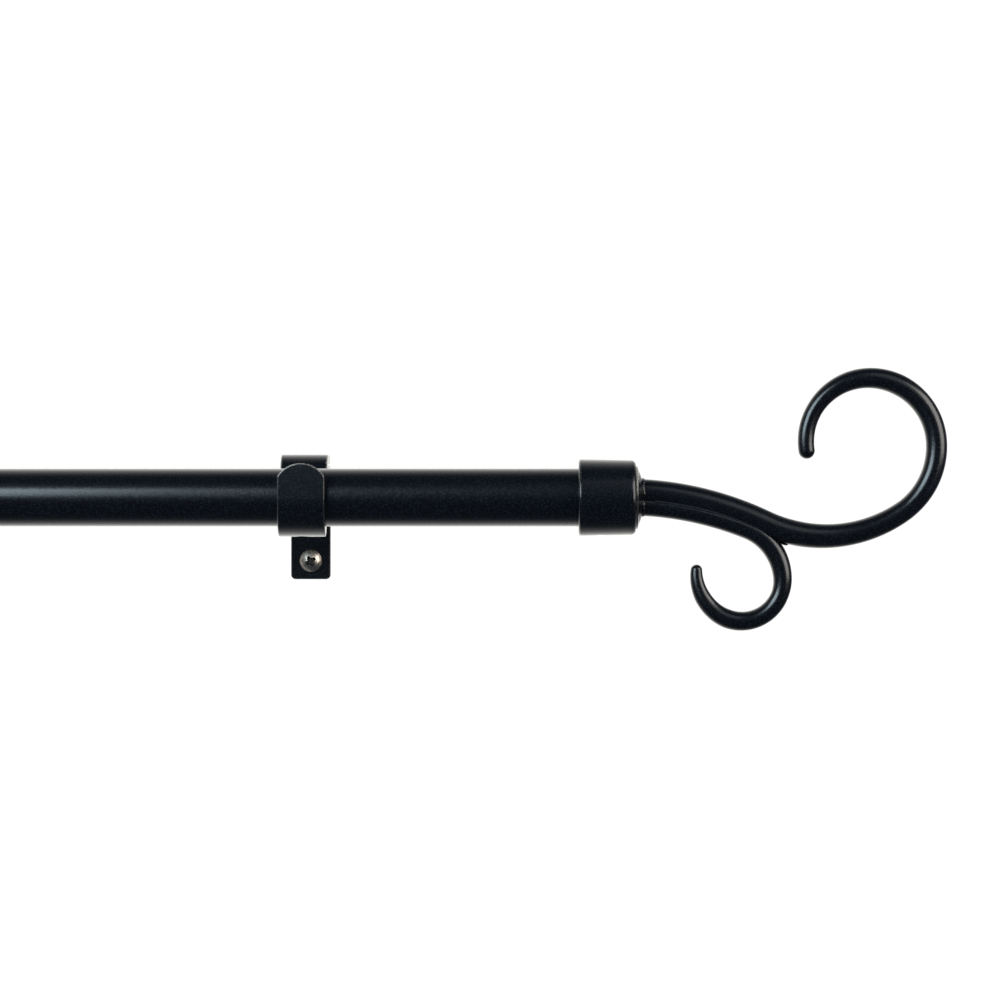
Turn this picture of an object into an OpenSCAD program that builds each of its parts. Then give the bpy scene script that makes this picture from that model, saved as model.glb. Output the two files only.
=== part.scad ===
// Telescoping curtain rod on two strap brackets, with a double-scroll finial at each end.
// X runs along the rod, Y points into the wall and Z points up. The origin is on the wall face,
// midway between the two screws of the right-hand bracket.

/* [Pole] */
// Outside diameter of the thick tube
tube_d = 19.7; // [19:0.1:20.4]
// Wall of the thick tube
tube_wall = 1; // [0.8:0.1:1.2]
// Length of the thick tube
tube_len = 660; // [500:10:900]
// Outside diameter of the thin tube that telescopes inside
inner_d = 16; // [15:0.5:16]
// Wall of the thin tube
inner_wall = 0.8; // [0.6:0.1:1]
// Length of the thin tube
inner_len = 640; // [480:10:800]
// Length of the thin tube that shows at rest
exposed_len = 40; // [30:5:120]
// How far the thick tube runs past the right-hand bracket's centre
tube_overhang = 110; // [60:5:160]

/* [Brackets] */
// Distance between the two brackets' centres
bracket_pitch = 480; // [300:10:560]
// Distance from the wall to the rod's axis
projection = 72; // [70:1:76]
// Height of the rod's axis above the middle of the two wall screws
rod_rise = 10; // [8:1:12]
// Width of the cradle strap
strap_w = 16; // [14:1:20]
// Thickness of the cradle strap
strap_t = 3.3; // [3:0.1:4]
// Gap between the rod and the cradle
cradle_gap = 0.15; // [0.15:0.05:0.6]
// Height of the front tongue's tip above the rod's axis
tongue_rise = 11.5; // [8:0.5:16]
// Radius of the tongue's round top
tongue_crown_r = 9.3; // [9:0.1:12]
// Height of the strap arm's top above the rod's axis
arm_rise = 14.8; // [14:0.1:18]
// Outer radius of the bend from the cradle's back into its arm
arm_bend_r = 10; // [8:0.5:11]
// Distance from the wall to the strap arm's rear end
strap_rear = 32; // [28:1:34]
// Width of the wall plate
plate_w = 14; // [12:1:18]
// Thickness of the wall plate
plate_t = 2; // [1.5:0.5:3]
// Height of the wall plate
plate_h = 40.4; // [38:0.2:42]
// Outer radius of the wall plate's bend
plate_bend_r = 4; // [3:0.5:5]
// Distance between the two wall screws
screw_pitch = 25; // [24:1:26]
// How far a cradle slides forward on its wall plate
slide_travel = 9; // [4:0.5:9]

/* [Finials] */
// Outside diameter of the collar at its open end
collar_d = 26; // [25.4:0.1:28]
// Outside diameter of the collar at its closed end
collar_end_d = 25.4; // [24:0.1:28]
// Depth of the tube inside the collar
collar_grip = 16.4; // [12:0.2:22]
// Thickness of the collar's end wall
collar_end_t = 3.2; // [2.5:0.1:5]
// Diameter of the flange disc
flange_d = 21.4; // [18:0.2:23]
// Thickness of the flange disc
flange_t = 2.05; // [1.5:0.05:3]
// Radius of the main scroll's bar at its root
main_root_r = 4.4; // [4:0.1:5]
// Radius of the small scroll's bar at its root
small_root_r = 3.6; // [3:0.1:4]

/* [Fasteners] */
// Diameter of the grub and clamp screws
machine_d = 4; // [3:0.5:4]
// Diameter of the wall screws' thread
wall_screw_d = 4.2; // [3.5:0.1:4.5]
// Length of the wall screws behind the plate
wall_screw_len = 32; // [25:1:50]
// Diameter of the screws' pan heads
pan_head_d = 8; // [7:0.1:9]

/* [Hidden] */
$fn = 64;

// Gaps and fits
running = 0.05;
seat_gap = 0.05;
slack = 0.2;
cut = 1;

// Pole
tube_r = tube_d / 2;
tube_bore_r = tube_r - tube_wall;
inner_r = inner_d / 2;
inner_bore_r = inner_r - inner_wall;
tube_mouth_x = tube_overhang - tube_len;
inner_left_x = tube_mouth_x - exposed_len;
inner_right_x = inner_left_x + inner_len;
bush_depth = 14;
bush_lip_t = 1.5;
guide_depth = 12;
guide_lip_t = 6;
guide_wall = 2;

// Brackets, measured in a bracket's own frame: the rod's axis is the X axis
wall_y = projection;
cradle_in_r = tube_r + cradle_gap;
cradle_out_r = cradle_in_r + strap_t;
bend_y = cradle_in_r + arm_bend_r;
bend_z = arm_rise - arm_bend_r;
strap_end_y = projection - strap_rear;
strap_under_z = arm_rise - strap_t;
plate_top_z = strap_under_z - seat_gap;
plate_corner_r = 1.6;
arm_setback = 1.4;
arm_front_y = bend_y + arm_setback;
clamp_setback = 6;
clamp_y = strap_end_y - clamp_setback;
slot_r = machine_d / 2 + slack;
wall_hole_r = wall_screw_d / 2 + slack;

// Finials, measured in a finial's own frame: the tube ends at X = 0 and the scrolls run towards +X
collar_bore_r = tube_r + running;
collar_round = 0.9;
collar_end_round = 1.8;
flange_back_x = collar_end_t + seat_gap;
flange_face_x = flange_back_x + flange_t;
flange_face_r = 5.4;
flange_rim_t = 0.5;
dome_power = 1.6;
stud_r = 3;
stud_end_x = 0.4;
collar_screw_x = -9;

// Scroll bars: each arc is [radius, sweep], with sweeps to the left positive
main_start_z = 1.9;
main_arcs = [[111, -22.3], [47, 59.3], [27, 59.5], [23, 79.6], [21.5, 105.3]];
main_taper = [
    [0, main_root_r], [55, 4.3], [70, 4], [96, 3.6], [144, 3.7], [160, 3.35], [176, 2.9], [192, 2.8]
];
small_start_z = -2.7;
small_arcs = [[111, -19], [19, -64.8], [14, -129], [17, -56.9]];
small_taper = [[0, small_root_r], [50, 3.5], [64, 3.05], [86, 3.3], [97, 2.85], [108, 1.9]];
start_heading = -3;
weld_gap = 0.05;
weld_len = 50;
weld_margin = 10;
seat_step = 0.25;
ring_step = 4;
ring_sides = 18;
tip_rings = 4;
tip_sweep = 82;

// Screws
grub_r = machine_d / 2 - running;
tapped_r = machine_d / 2 + running;
grub_tip_gap = 0.06;
grub_key = 2;
grub_key_depth = 1.5;
washer_r = 4.5;
washer_t = 0.8;
clamp_head_t = 2.6;
pan_head_t = 3.1;
pan_edge_t = 0.7;
point_len = 5;
point_r = 0.3;
neck_inset = 0.5;
lower_screw_turn = 32;
upper_screw_turn = -12;
cross_len = 4.6;
cross_w = 1.1;
cross_depth = 1.7;

black = [0.06, 0.065, 0.075];
nickel = [0.62, 0.60, 0.56];
zinc = [0.45, 0.46, 0.48];
nylon = [0.13, 0.13, 0.14];

// ---------- placing ----------

module on_axis(x) {
    translate([x, -projection, rod_rise]) children();
}

module at_right_bracket() {
    on_axis(0) children();
}

module at_left_bracket() {
    on_axis(-bracket_pitch) children();
}

module at_right_end() {
    on_axis(tube_overhang) children();
}

module at_left_end() {
    on_axis(inner_left_x) mirror([1, 0, 0]) children();
}

// A cylinder along X that starts at X = from
module x_rod(r, from, len) {
    translate([from, 0, 0]) rotate([0, 90, 0]) cylinder(r = r, h = len);
}

module x_tube(r_out, r_in, from, len) {
    difference() {
        x_rod(r_out, from, len);
        x_rod(r_in, from - cut, len + 2 * cut);
    }
}

// ---------- pole ----------

module outer_tube() {
    color(black) on_axis(0) x_tube(tube_r, tube_bore_r, tube_mouth_x, tube_len);
}

// Nylon ring in the thick tube's mouth, with a lip that covers the tube's end
module tube_bush() {
    color(nylon) on_axis(tube_mouth_x) difference() {
        union() {
            x_rod(tube_bore_r, 0, bush_depth);
            x_rod(tube_r, -bush_lip_t, bush_lip_t);
        }
        x_rod(inner_r + running, -bush_lip_t - cut, bush_depth + bush_lip_t + 2 * cut);
    }
}

module inner_tube() {
    color(black) on_axis(0) x_tube(inner_r, inner_bore_r, inner_left_x, inner_len);
}

// Nylon plug on the thin tube's hidden end: its head slides in the thick tube
module inner_guide() {
    color(nylon) on_axis(inner_right_x) difference() {
        union() {
            x_rod(tube_bore_r - running, 0, guide_lip_t);
            x_rod(inner_bore_r, -guide_depth, guide_depth);
        }
        x_rod(inner_bore_r - guide_wall, -guide_depth - cut, guide_depth + cut);
    }
}

// ---------- bracket ----------

// A bent piece of strap about an axis along X: the angle starts at +Y and turns towards +Z
module strap_bend(r_in, t, w, from, sweep) {
    rotate([0, 90, 0]) rotate([0, 0, 90 + from]) rotate_extrude(angle = sweep)
        translate([r_in, -w / 2]) square([t, w]);
}

// A straight piece of strap: Y and Z are given as [low, high]
module strap_bar(w, y, z) {
    translate([-w / 2, y[0], z[0]]) cube([w, y[1] - y[0], z[1] - z[0]]);
}

module tongue() {
    crown_z = tongue_rise - tongue_crown_r;
    intersection() {
        strap_bar(strap_w, [-cradle_out_r, -cradle_in_r], [0, tongue_rise]);
        union() {
            translate([0, 0, crown_z]) rotate([90, 0, 0]) cylinder(r = tongue_crown_r, h = 2 * cradle_out_r);
            strap_bar(strap_w, [-cradle_out_r, -cradle_in_r], [0, crown_z]);
        }
    }
}

module cradle() {
    color(black) difference() {
        union() {
            tongue();
            strap_bend(cradle_in_r, strap_t, strap_w, 180, 180);
            strap_bar(strap_w, [cradle_in_r, cradle_out_r], [0, bend_z]);
            translate([0, bend_y, bend_z])
                strap_bend(arm_bend_r - strap_t, strap_t, strap_w, 90, 90);
            strap_bar(strap_w, [bend_y, strap_end_y], [strap_under_z, arm_rise]);
        }
        translate([0, 0, -cradle_out_r - cut]) cylinder(r = tapped_r, h = strap_t + 2 * cut);
        translate([0, clamp_y, strap_under_z - cut]) cylinder(r = tapped_r, h = strap_t + 2 * cut);
    }
}

// Outline of the wall plate's upright leg, with its two lower corners rounded
module plate_outline(w, bottom, top) {
    translate([-w / 2, bottom + plate_corner_r]) square([w, top - bottom - plate_corner_r]);
    translate([-w / 2 + plate_corner_r, bottom]) square([w - 2 * plate_corner_r, plate_corner_r + cut]);
    for (side = [-1, 1])
        translate([side * (w / 2 - plate_corner_r), bottom + plate_corner_r]) circle(r = plate_corner_r);
}

module wall_plate() {
    bottom_z = plate_top_z - plate_h;
    bend_in_r = plate_bend_r - plate_t;
    color(black) difference() {
        union() {
            translate([0, wall_y, 0]) rotate([90, 0, 0]) linear_extrude(plate_t)
                plate_outline(plate_w, bottom_z, plate_top_z - plate_bend_r);
            translate([0, wall_y - plate_bend_r, plate_top_z - plate_bend_r])
                strap_bend(bend_in_r, plate_t, plate_w, 0, 90);
            strap_bar(plate_w, [arm_front_y, wall_y - plate_bend_r], [plate_top_z - plate_t, plate_top_z]);
        }
        for (side = [-1, 1])
            translate([0, wall_y + cut, -rod_rise + side * screw_pitch / 2])
                rotate([90, 0, 0]) cylinder(r = wall_hole_r, h = plate_t + 2 * cut);
        clamp_slot();
    }
}

// Slot in the wall plate's arm for the clamp screw, with room for the cradle's travel
module clamp_slot() {
    translate([0, clamp_y, plate_top_z - plate_t - cut]) {
        for (y = [0, -slide_travel])
            translate([0, y, 0]) cylinder(r = slot_r, h = plate_t + 2 * cut);
        translate([-slot_r, -slide_travel, 0]) cube([2 * slot_r, slide_travel, plate_t + 2 * cut]);
    }
}

// ---------- screws ----------

// Two crossed slots, cut down from Z = 0
module cross_recess() {
    for (turn = [0, 90])
        rotate([0, 0, turn]) translate([-cross_len / 2, -cross_w / 2, -cross_depth])
            cube([cross_len, cross_w, cross_depth + cut]);
}

// Pan head with its flat side at Z = 0, rising to Z = t: a rim below a domed top
module pan_head(r, t) {
    sag = t - pan_edge_t;
    dome_r = (r * r + sag * sag) / (2 * sag);
    difference() {
        intersection() {
            cylinder(r = r, h = t);
            translate([0, 0, t - dome_r]) sphere(r = dome_r);
        }
        translate([0, 0, t]) cross_recess();
    }
}

// The screw turns a few degrees from upright, as hand-driven screws end up
module wall_screw(turn) {
    rotate([90, 0, 0]) {
        translate([0, 0, plate_t]) rotate([0, 0, turn]) pan_head(pan_head_d / 2, pan_head_t);
        cylinder(r = wall_screw_d / 2 - neck_inset, h = plate_t);
        translate([0, 0, point_len - wall_screw_len])
            cylinder(r = wall_screw_d / 2, h = wall_screw_len - point_len);
        translate([0, 0, -wall_screw_len])
            cylinder(r1 = point_r, r2 = wall_screw_d / 2, h = point_len);
    }
}

module wall_screws() {
    color(nickel) {
        translate([0, wall_y, -rod_rise - screw_pitch / 2]) wall_screw(lower_screw_turn);
        translate([0, wall_y, -rod_rise + screw_pitch / 2]) wall_screw(upper_screw_turn);
    }
}

// Set screw along Z from Z = 0 up to Z = len, with its key socket at the lower end
module grub_screw(len) {
    color(zinc) difference() {
        cylinder(r = grub_r, h = len);
        translate([0, 0, -cut]) cylinder(r = grub_key / sqrt(3), h = grub_key_depth + cut, $fn = 6);
    }
}

module cradle_screw() {
    len = strap_t - slack;
    translate([0, 0, -tube_r - grub_tip_gap - len]) grub_screw(len);
}

module clamp_washer() {
    color(zinc) translate([0, clamp_y, plate_top_z - plate_t - seat_gap - washer_t]) difference() {
        cylinder(r = washer_r, h = washer_t);
        translate([0, 0, -cut]) cylinder(r = machine_d / 2 + slack, h = washer_t + 2 * cut);
    }
}

module clamp_screw() {
    head_z = plate_top_z - plate_t - seat_gap - washer_t;
    color(zinc) translate([0, clamp_y, 0]) {
        translate([0, 0, head_z]) mirror([0, 0, 1]) pan_head(pan_head_d / 2, clamp_head_t);
        translate([0, 0, head_z]) cylinder(r = grub_r, h = arm_rise - slack - head_z);
    }
}

// ---------- finial ----------

// Points of a quarter circle about [x, r], between two angles
function quarter(x, r, radius, from, to, steps = 6) =
    [for (i = [0:steps]) let (a = from + (to - from) * i / steps) [x + radius * cos(a), r + radius * sin(a)]];

// Turns an outline of [x, r] points about the X axis
module turned_x(outline) {
    rotate([0, 90, 0]) rotate_extrude() polygon([for (p = outline) [p[1], p[0]]]);
}

module collar() {
    open_r = collar_d / 2;
    end_r = collar_end_d / 2;
    color(black) difference() {
        turned_x(concat(
            [[-collar_grip, 0]],
            quarter(collar_round - collar_grip, open_r - collar_round, collar_round, 180, 90),
            quarter(collar_end_t - collar_end_round, end_r - collar_end_round, collar_end_round, 90, 0),
            [[collar_end_t, 0]]
        ));
        x_rod(collar_bore_r, -collar_grip - cut, collar_grip + cut + seat_gap);
        x_rod(stud_r + running, -cut, collar_end_t + 2 * cut);
        translate([collar_screw_x, 0, -open_r - cut]) cylinder(r = tapped_r, h = open_r + cut);
    }
}

module collar_screw(rod_r) {
    len = collar_end_d / 2 - slack - rod_r - grub_tip_gap;
    translate([collar_screw_x, 0, -collar_end_d / 2 + slack]) grub_screw(len);
}

// Nylon sleeve that fills the collar's bore round the thin tube
module reducer() {
    color(nylon) difference() {
        x_tube(collar_bore_r, inner_r + running, -collar_grip, collar_grip);
        translate([collar_screw_x, 0, -tube_d]) cylinder(r = tapped_r, h = tube_d);
    }
}

// Domed disc with the stud that screws into the collar
module flange() {
    dome_steps = 5;
    dome_x = flange_back_x + flange_rim_t;
    color(black) {
        turned_x(concat(
            [[flange_back_x, 0], [flange_back_x, flange_d / 2]],
            [for (i = [0:dome_steps]) let (f = i / dome_steps) [
                dome_x + (flange_t - flange_rim_t) * sin(90 * f) ^ dome_power,
                flange_face_r + (flange_d / 2 - flange_face_r) * (1 - f)
            ]],
            [[flange_face_x, 0]]
        ));
        x_rod(stud_r, stud_end_x, flange_back_x - stud_end_x);
    }
}

// A place on a scroll is [x, z, heading, run]. This one lies a fraction f along an arc from place p.
function along(p, arc, f) =
    let (side = sign(arc[1]), turn = arc[1] * f, r = side * arc[0])
    [
        p[0] - r * sin(p[2]) + r * sin(p[2] + turn),
        p[1] + r * cos(p[2]) - r * cos(p[2] + turn),
        p[2] + turn,
        p[3] + arc[0] * abs(turn) * PI / 180
    ];

function arc_start(arcs, first, n) = n == 0 ? first : along(arc_start(arcs, first, n - 1), arcs[n - 1], 1);

function route(arcs, first, step = ring_step) = [
    for (n = [0:len(arcs) - 1])
        let (steps = ceil(arcs[n][0] * abs(arcs[n][1]) * PI / 180 / step), from = arc_start(arcs, first, n))
            for (i = [1:steps]) along(from, arcs[n], i / steps)
];

// Closely spaced places along the main bar, from its root to a little past the weld
main_places = [
    for (p = route(main_arcs, [flange_face_x, main_start_z, start_heading, 0], seat_step))
        if (p[3] < weld_len + weld_margin) p
];

// How far above place p of the small bar, at y from its middle, the main bar's surface lies
function seat(p, y) =
    let (
        ahead = [for (q = main_places) abs((q[0] - p[0]) * cos(p[2]) + (q[1] - p[1]) * sin(p[2]))],
        q = main_places[search(min(ahead), ahead)[0]],
        r = lookup(q[3], main_taper) + weld_gap,
        height = (q[1] - p[1]) * cos(p[2]) - (q[0] - p[0]) * sin(p[2])
    )
    abs(y) < r ? height - sqrt(r * r - y * y) / cos(q[2] - p[2]) : height;

// One ring of points square to the bar at place p. A seated ring is hollowed to fit under the main bar.
function ring(p, r, seated = false) = [
    for (k = [0:ring_sides - 1])
        let (
            a = 360 * k / ring_sides,
            y = r * sin(a),
            up = seated ? min(r * cos(a), seat(p, y)) : r * cos(a)
        )
            [p[0] - up * sin(p[2]), y, p[1] + up * cos(p[2])]
];

// Shrinking rings that round off the tip beyond place p
function tip(p, r) = [
    for (i = [1:tip_rings])
        let (a = tip_sweep * i / tip_rings)
            ring([p[0] + r * sin(a) * cos(p[2]), p[1] + r * sin(a) * sin(p[2]), p[2], p[3]], r * cos(a))
];

// A tapering round bar along the arcs, seated under the main bar as far as seam_len.
// Its root is cut square to the X axis.
module bar(arcs, start_z, taper, seam_len = -1) {
    places = route(arcs, [flange_face_x, start_z, start_heading, 0]);
    last = places[len(places) - 1];
    rings = concat(
        [ring([flange_face_x, start_z, 0, 0], taper[0][1], seam_len > 0)],
        [for (p = places) ring(p, lookup(p[3], taper), p[3] < seam_len)],
        tip(last, lookup(last[3], taper))
    );
    sides = [
        for (n = [0:len(rings) - 2], k = [0:ring_sides - 1])
            let (a = n * ring_sides, next = (k + 1) % ring_sides)
                [a + k, a + ring_sides + k, a + ring_sides + next, a + next]
    ];
    root = [for (k = [0:ring_sides - 1]) k];
    end = [for (k = [ring_sides - 1:-1:0]) (len(rings) - 1) * ring_sides + k];
    polyhedron([for (r = rings, p = r) p], concat([root], sides, [end]), convexity = 8);
}

module main_scroll() {
    color(black) bar(main_arcs, main_start_z, main_taper);
}

// The small bar is shaped to lie against the main one, where the two are welded
module small_scroll() {
    color(black) bar(small_arcs, small_start_z, small_taper, weld_len);
}

// ---------- assembly ----------

outer_tube();
tube_bush();
inner_tube();
inner_guide();
at_left_end() reducer();  // reducer_left
at_right_bracket() wall_plate();  // wall_plate_right
at_right_bracket() wall_screws();  // wall_screws_right
at_right_bracket() cradle();  // cradle_right
at_right_bracket() cradle_screw();  // cradle_screw_right
at_right_bracket() clamp_screw();  // clamp_screw_right
at_right_bracket() clamp_washer();  // clamp_washer_right
at_left_bracket() wall_plate();  // wall_plate_left
at_left_bracket() wall_screws();  // wall_screws_left
at_left_bracket() cradle();  // cradle_left
at_left_bracket() cradle_screw();  // cradle_screw_left
at_left_bracket() clamp_screw();  // clamp_screw_left
at_left_bracket() clamp_washer();  // clamp_washer_left
at_right_end() collar();  // collar_right
at_right_end() collar_screw(tube_r);  // collar_screw_right
at_right_end() flange();  // flange_right
at_right_end() main_scroll();  // main_scroll_right
at_right_end() small_scroll();  // small_scroll_right
at_left_end() collar();  // collar_left
at_left_end() collar_screw(inner_r);  // collar_screw_left
at_left_end() flange();  // flange_left
at_left_end() main_scroll();  // main_scroll_left
at_left_end() small_scroll();  // small_scroll_left
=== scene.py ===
"""Looks of a telescoping curtain rod on two strap brackets, with a double-scroll finial at each end."""

import math

import bmesh
import bpy
from mathutils import Matrix, Vector, noise


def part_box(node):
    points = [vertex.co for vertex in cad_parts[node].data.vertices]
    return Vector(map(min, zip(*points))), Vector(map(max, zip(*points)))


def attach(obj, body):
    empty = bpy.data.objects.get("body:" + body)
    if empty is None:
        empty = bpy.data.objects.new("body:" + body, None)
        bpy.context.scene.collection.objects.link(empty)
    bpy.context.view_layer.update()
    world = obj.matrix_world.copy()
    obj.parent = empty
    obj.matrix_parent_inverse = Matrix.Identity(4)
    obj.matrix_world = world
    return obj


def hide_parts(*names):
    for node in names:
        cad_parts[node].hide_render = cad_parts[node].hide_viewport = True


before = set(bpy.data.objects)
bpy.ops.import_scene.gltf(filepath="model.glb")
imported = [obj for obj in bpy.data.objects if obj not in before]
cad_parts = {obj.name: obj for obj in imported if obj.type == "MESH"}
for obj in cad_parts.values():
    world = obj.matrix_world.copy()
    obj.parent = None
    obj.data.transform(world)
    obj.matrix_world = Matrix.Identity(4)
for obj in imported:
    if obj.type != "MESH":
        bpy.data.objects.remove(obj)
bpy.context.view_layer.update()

MM = 0.001
SIDES = ("right", "left")
MERGE_GAP = 0.002 * MM

# Shapes in millimetres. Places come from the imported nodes' boxes.
# FIT is the gap between fitted parts, and a cutting shape stands CUT_PAST out of what it cuts.
FIT = 0.05
CUT_PAST = 1.0
TUBE_R = 9.85
TUBE_BORE_R = 8.85
INNER_R = 8.0
INNER_BORE_R = 7.2
TUBE_EDGE = 0.2
BUSH_DEPTH = 14.0
BUSH_LIP = 1.5
BUSH_CHAMFER = 0.3
BUSH_ROUND = 0.5
GUIDE_HEAD = 6.0
GUIDE_DEPTH = 12.0
GUIDE_BORE_R = 5.2
GUIDE_ROUND = 0.8
GUIDE_LEAD = 0.6
GUIDE_LEAD_DROP = 0.4

STRAP_W = 16.0
STRAP_T = 3.3
CRADLE_R = 10.0
TONGUE_RISE = 11.5
CROWN_R = 9.3
ARM_RISE = 14.8
ARM_BEND_R = 10.0
STRAP_END_Y = 40.0
STRAP_EDGE = 0.45
STRAP_CORNER = 1.0
PLATE_W = 14.0
PLATE_T = 2.0
PLATE_TOP_Z = 11.45
PLATE_H = 40.4
PLATE_BEND_R = 4.0
PLATE_ARM_Y = 21.4
PLATE_EDGE = 0.35
PLATE_CORNER = 1.6
WALL_Y = 72.0
WALL_HOLE_R = 2.3
SCREW_PITCH = 25.0
SCREWS_Z = -10.0
CLAMP_Y = 34.0
SLOT_R = 2.2
SLOT_LEN = 9.0

COLLAR_R = 13.0
COLLAR_END_R = 12.7
COLLAR_GRIP = 16.4
COLLAR_END_T = 3.2
COLLAR_ROUND = 0.9
COLLAR_END_ROUND = 1.8
COLLAR_BORE_R = 9.9
COLLAR_LIP_ROUND = 0.5
COLLAR_SCREW_X = -9.0
STUD_R = 3.0
STUD_END_X = 0.4
STUD_CHAMFER = 0.3
REDUCER_GAP = 0.02
REDUCER_EDGE = 0.15
FLANGE_BACK_X = 3.25
FLANGE_R = 10.7
FLANGE_RIM_T = 0.5
FLANGE_RISE = 1.55
FLANGE_FACE_R = 5.4
DOME_POWER = 1.6
FLANGE_FACE_X = FLANGE_BACK_X + FLANGE_RIM_T + FLANGE_RISE

MACHINE_R = 2.0
MACHINE_PITCH = 0.7
MACHINE_THREAD = 0.35
THREAD_R = MACHINE_R - FIT
TAPPED_R = MACHINE_R + FIT
WALL_SCREW_R = 2.1
WALL_SCREW_PITCH = 1.8
WALL_SCREW_THREAD = 0.6
WALL_SCREW_SHARP = 0.24
WALL_SCREW_LEN = 32.0
WALL_POINT_LEN = 5.0
POINT_SHARE = 0.12
NECK_R = 1.6
PAN_R = 4.0
PAN_T = 3.1
CLAMP_PAN_T = 2.6
PAN_RIM = 0.7
PAN_EDGE = 0.25
KEY_R = 1.155
KEY_DEPTH = 1.5
CROSS_REACH = 2.5
CROSS_HALF_W = 0.62
CROSS_FLARE = 1.5
CROSS_DEPTH = 1.75
CROSS_ABOVE = 0.6
CROSS_NARROW = 0.5
WASHER_R = 4.5
WASHER_T = 0.8
WASHER_SLACK = 0.2
WASHER_EDGE = 0.12
TIP_GAP = 0.06
SCREW_SHORT = 0.2

# Wall screws: name, height, and how far the cross recess is turned, in degrees
WALL_SCREWS = (
    ("lower", SCREWS_Z - SCREW_PITCH / 2, 32),
    ("upper", SCREWS_Z + SCREW_PITCH / 2, -12),
)
CLAMP_TURN = 20

# Scroll bars: each arc is (radius, sweep in degrees), with sweeps to the left positive.
# Each row of a taper is (distance along the bar, the bar's radius).
MAIN_START_Z = 1.9
MAIN_ARCS = ((111, -22.3), (47, 59.3), (27, 59.5), (23, 79.6), (21.5, 105.3))
MAIN_TAPER = ((0, 4.4), (55, 4.3), (70, 4), (96, 3.6), (144, 3.7), (160, 3.35), (176, 2.9), (192, 2.8))
SMALL_START_Z = -2.7
SMALL_ARCS = ((111, -19), (19, -64.8), (14, -129), (17, -56.9))
SMALL_TAPER = ((0, 3.6), (50, 3.5), (64, 3.05), (86, 3.3), (97, 2.85), (108, 1.9))
START_HEADING = -3
WELD_GAP = 0.05
WELD_LEN = 50
RING_STEP = 1.0
FINE_STEP = 0.25
WEB_STEP = 0.5
BAR_SIDES = 56
BAR_SINK = 0.3
# The sweep of a bar's round tip stops just short of 90 degrees, so its last ring keeps some size
TIP_SWEEP = 88

# The weld seams along the two bars: uneven by a share of their radius, and thinning towards their end
SEAM_START = 3.0
SEAM_END = 44.0
SEAM_R = 0.4
SEAM_UNEVEN = 0.35
SEAM_WAVES = 0.45
SEAM_TIP = 0.2
SEAM_FADE = 30
# The lumpy weld round the bars at the flange: sunk into the corner, and wider than it is high
BEAD_R = 0.6
BEAD_UNEVEN = 0.5
BEAD_LUMPS = 3.1
BEAD_GRAINS = 9
BEAD_SINK = 0.6
BEAD_WIDEN = 1.6
# The weld in the crotch of the bars: a blunt spindle
WEB_START = 42.0
WEB_END = 49.6
WEB_T = 0.5
WEB_HALF_W = 2.2
WEB_BLUNT = 4
WEB_END_SIZE = 0.02


# ---------- places ----------

def middle(node):
    low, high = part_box(node)
    return (low + high) / 2


ROD = middle("outer_tube")


def spot(x, mirrored=False):
    """Takes millimetres about a point of the rod's axis to the row's metres."""
    flip = -MM if mirrored else MM
    return Matrix.Translation((x, ROD.y, ROD.z)) @ Matrix.Diagonal((flip, MM, MM, 1))


BRACKET = {side: spot(middle(f"cradle_{side}").x) for side in SIDES}
ROD_END = {
    "right": spot(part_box("outer_tube")[1].x),
    "left": spot(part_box("inner_tube")[0].x, mirrored=True),
}
MOUTH = spot(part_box("outer_tube")[0].x)
INNER_END = spot(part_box("inner_tube")[1].x)


# ---------- mesh tools: every shape is (points, faces) in millimetres ----------

def arc(cx, cy, radius, start, end, steps=8):
    """Points of an arc about (cx, cy), between two angles in degrees."""
    angles = (math.radians(start + (end - start) * i / steps) for i in range(steps + 1))
    return [(cx + radius * math.cos(a), cy + radius * math.sin(a)) for a in angles]


def polygon(cx, cy, radius, sides):
    """The corners of a regular polygon, or of a round hole."""
    return arc(cx, cy, radius, 0, 360 - 360 / sides, sides - 1)


def lookup(table, at):
    """A value between the rows of a table of (place, value)."""
    for (low, a), (high, b) in zip(table, table[1:]):
        if at <= high:
            return a + (b - a) * max(0.0, at - low) / (high - low)
    return table[-1][1]


def skin(rings, closed=False):
    """Faces between equal rings of points. An open run of rings gets a cap at each end."""
    count = len(rings[0])
    points = [p for r in rings for p in r]
    faces = []
    for n in range(len(rings) if closed else len(rings) - 1):
        here = n * count
        there = (n + 1) % len(rings) * count
        for k in range(count):
            beside = (k + 1) % count
            faces.append((here + k, here + beside, there + beside, there + k))
    if not closed:
        faces.append(tuple(range(count)))
        faces.append(tuple(len(points) - count + k for k in range(count)))
    return points, faces


# Stands a shape that lies along X up along Z
UPRIGHT = Matrix.Rotation(math.radians(-90), 4, "Y")


def lathe(outline, sides=96):
    """Turns a closed outline of (x, radius) points about the X axis."""
    rings = []
    for x, r in outline:
        angles = (2 * math.pi * k / sides for k in range(sides))
        rings.append([(x, r * math.cos(a), r * math.sin(a)) for a in angles])
    return skin(rings, closed=True)


def sleeve(start, end, bore_r, r, edge=TUBE_EDGE, sides=96):
    """A tube along X with softened ends."""
    steps = 3
    outline = (
        arc(start + edge, bore_r + edge, edge, 270, 180, steps)
        + arc(start + edge, r - edge, edge, 180, 90, steps)
        + arc(end - edge, r - edge, edge, 90, 0, steps)
        + arc(end - edge, bore_r + edge, edge, 0, -90, steps)
    )
    return lathe(outline, sides)


def moved(shape, matrix):
    points, faces = shape
    return [tuple(matrix @ Vector(p)) for p in points], faces


def joined(*shapes):
    points, faces = [], []
    for more_points, more_faces in shapes:
        faces += [tuple(len(points) + i for i in f) for f in more_faces]
        points += more_points
    return points, faces


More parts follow.
